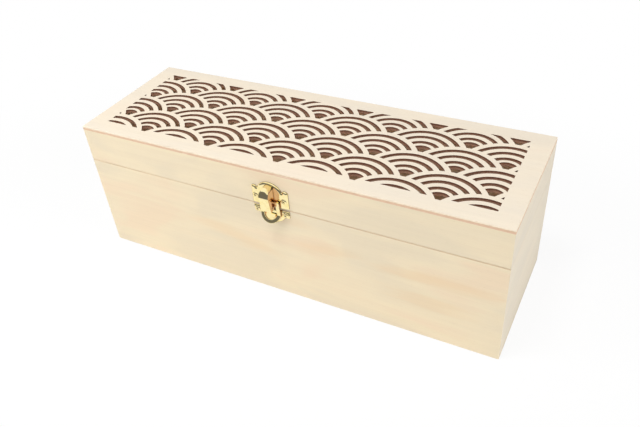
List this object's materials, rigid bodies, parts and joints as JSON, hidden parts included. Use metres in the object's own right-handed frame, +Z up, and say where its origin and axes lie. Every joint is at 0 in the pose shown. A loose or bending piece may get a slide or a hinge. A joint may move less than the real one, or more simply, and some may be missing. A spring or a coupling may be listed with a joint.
{
  "type": "tea box",
  "caption": "Long wooden tea box with a hinged lid pierced in overlapping waves, inner dividers and a brass over-centre toggle latch.",
  "frame": {"origin": "centre of the flat underside", "axes": "+X left to right seen from the front, +Y from the front to the back, +Z up"},
  "size_m": [0.35, 0.127, 0.1178],
  "materials": {
    "solid_wood": "sanded, unfinished pale basswood",
    "lattice_plywood": "sanded three-ply with scorched cut edges",
    "inner_plywood": "sanded plywood",
    "polished_brass": "polished, brass plated"
  },
  "bodies": {
    "box_body": {"front_panel": "solid_wood", "back_panel": "solid_wood", "left_end_panel": "solid_wood", "right_end_panel": "solid_wood", "base_panel": "inner_plywood", "divider_1": "inner_plywood", "divider_2": "inner_plywood", "divider_3": "inner_plywood", "latch_keeper_plate": "polished_brass", "latch_keeper_screws": "polished_brass", "hinge_lower_leaf_left": "polished_brass", "hinge_lower_leaf_right": "polished_brass", "hinge_pin_left": "polished_brass", "hinge_pin_right": "polished_brass", "hinge_lower_screws": "polished_brass"},
    "lid": {"lid_front_rail": "solid_wood", "lid_back_rail": "solid_wood", "lid_left_rail": "solid_wood", "lid_right_rail": "solid_wood", "lid_lattice_panel": "lattice_plywood", "latch_upper_plate": "polished_brass", "latch_plate_screws": "polished_brass", "latch_lever_pin": "polished_brass", "hinge_upper_leaf_left": "polished_brass", "hinge_upper_leaf_right": "polished_brass", "hinge_upper_screws": "polished_brass"},
    "lever": {"latch_lever": "polished_brass"},
    "bail": {"latch_bail": "polished_brass"}
  },
  "joints": [
    {"name": "lid_hinge", "type": "hinge", "parent": "box_body", "child": "lid", "pos_m": [0, 0.0589, 0.08605], "axis": [-1, 0, 0], "range_deg": [0, 180]},
    {"name": "lever_pivot", "type": "hinge", "parent": "lid", "child": "lever", "pos_m": [0, -0.0612, 0.08845], "axis": [1, 0, 0], "range_deg": [0, 95]},
    {"name": "bail_pivot", "type": "hinge", "parent": "lever", "child": "bail", "pos_m": [0, -0.0598, 0.09225], "axis": [1, 0, 0], "range_deg": [-95, 0]}
  ],
  "couplings": [
    {"joint": "bail_pivot", "follows": "lever_pivot", "ratio": -1}
  ]
}
